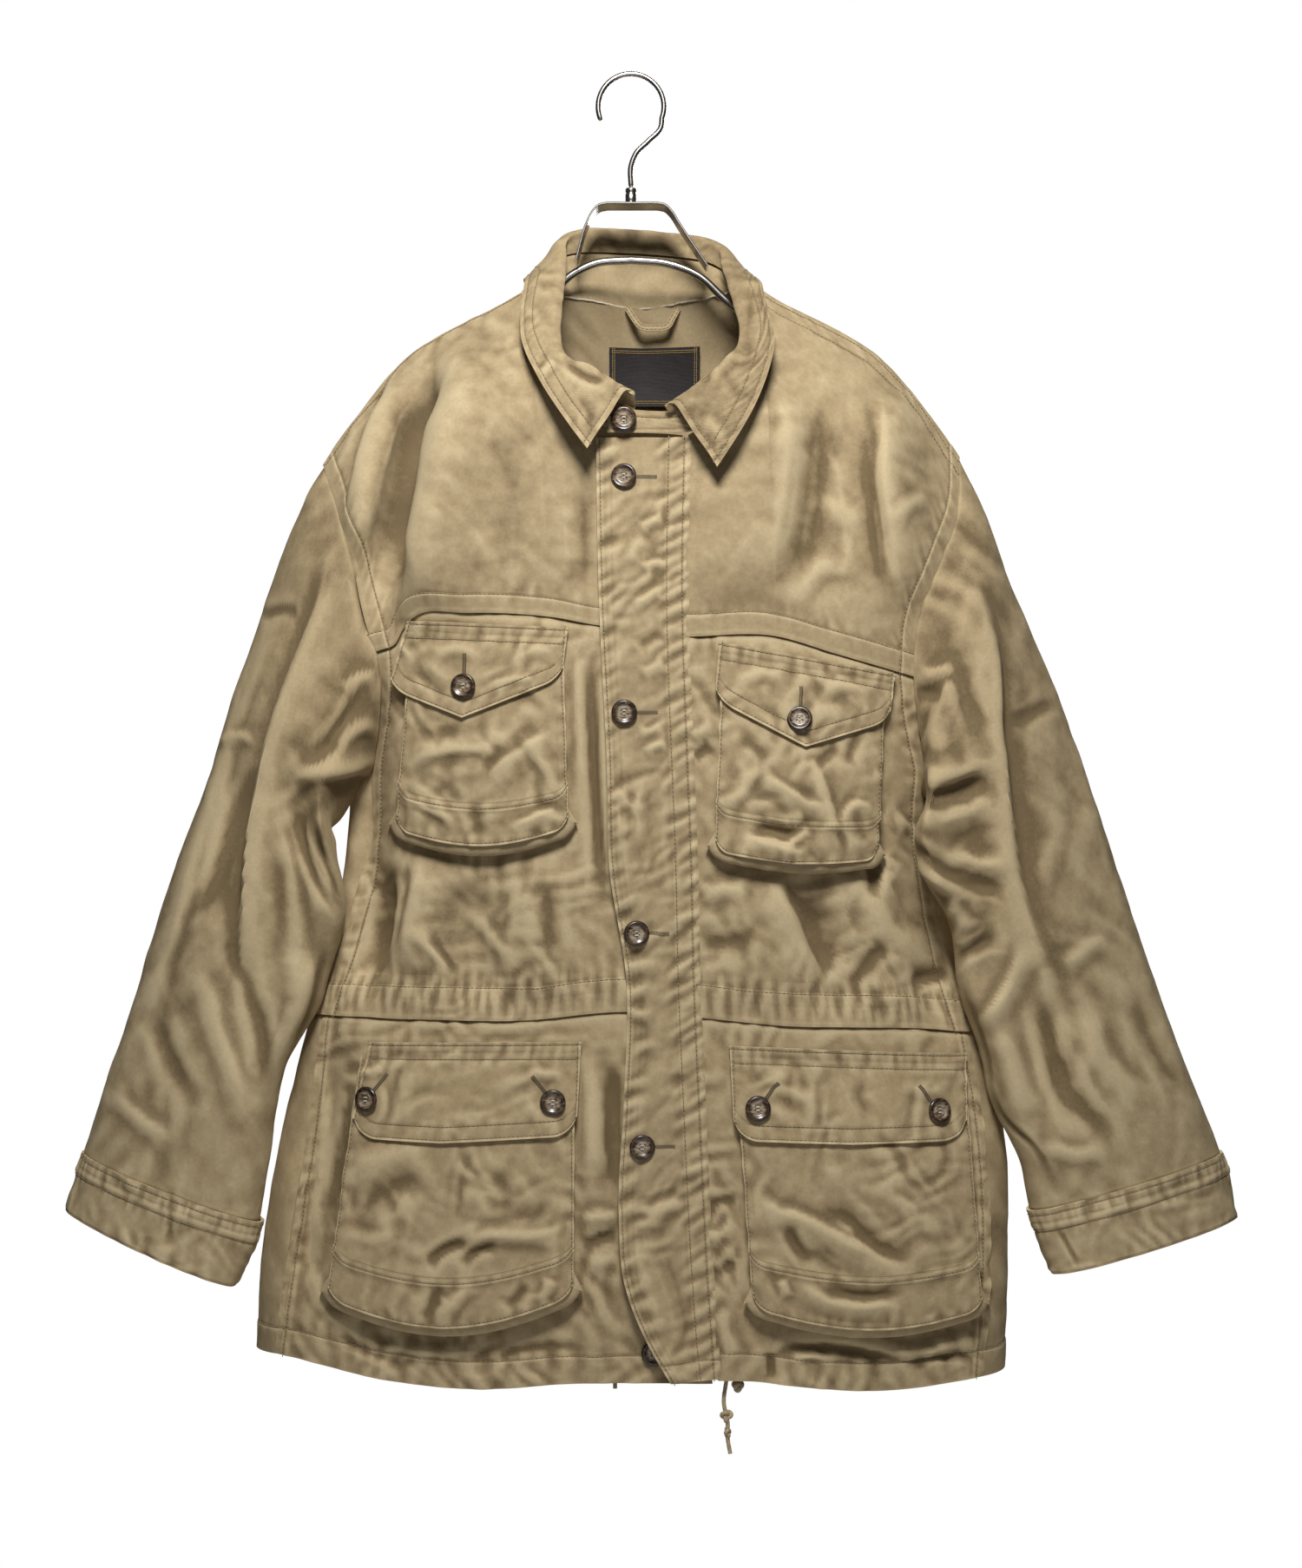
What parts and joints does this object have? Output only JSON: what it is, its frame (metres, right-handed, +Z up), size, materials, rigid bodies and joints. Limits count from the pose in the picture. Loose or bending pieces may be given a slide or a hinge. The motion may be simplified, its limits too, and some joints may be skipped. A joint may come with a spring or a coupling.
{
  "type": "field coat on a hanger",
  "caption": "Buttoned cotton twill field coat with a turned-down collar, a shoulder yoke and flapped bellows pockets, hung open-sleeved on a steel hanger.",
  "frame": {"origin": "the inside top of the hanger's hook, where it rests on a rail", "axes": "+Z up, the coat's front faces -Y, +X to the viewer's right"},
  "size_m": [0.9463, 0.1695, 1.0972],
  "materials": {
    "twill": "washed matt",
    "horn": "polished horn",
    "steel": "drawn and plated",
    "label": "plain weave",
    "cord": "braided"
  },
  "bodies": {
    "root": {"back": "twill", "back_skirt": "twill", "button_chest_left": "horn", "button_chest_right": "horn", "button_collar": "horn", "button_front_1": "horn", "button_front_2": "horn", "button_front_3": "horn", "button_front_4": "horn", "button_front_5": "horn", "button_hip_1": "horn", "button_hip_2": "horn", "button_hip_3": "horn", "button_hip_4": "horn", "chest_left_bag": "twill", "chest_left_band": "twill", "chest_left_flap": "twill", "chest_left_gusset": "twill", "chest_right_bag": "twill", "chest_right_band": "twill", "chest_right_flap": "twill", "chest_right_gusset": "twill", "collar_leaf": "twill", "collar_stand": "twill", "cuff_left": "twill", "cuff_right": "twill", "front_left": "twill", "front_right": "twill", "hanger_bar": "steel", "hanger_bracket": "steel", "hanger_ferrule": "steel", "hanger_hook": "steel", "hem_cord_left": "cord", "hem_cord_right": "cord", "hem_knot": "cord", "hip_left_bag": "twill", "hip_left_band": "twill", "hip_left_flap": "twill", "hip_left_gusset": "twill", "hip_right_bag": "twill", "hip_right_band": "twill", "hip_right_flap": "twill", "hip_right_gusset": "twill", "neck_label": "label", "neck_loop": "twill", "placket": "twill", "side_left": "twill", "side_right": "twill", "skirt_left": "twill", "skirt_right": "twill", "sleeve_left": "twill", "sleeve_right": "twill", "yoke_left": "twill", "yoke_right": "twill"}
  },
  "joints": []
}
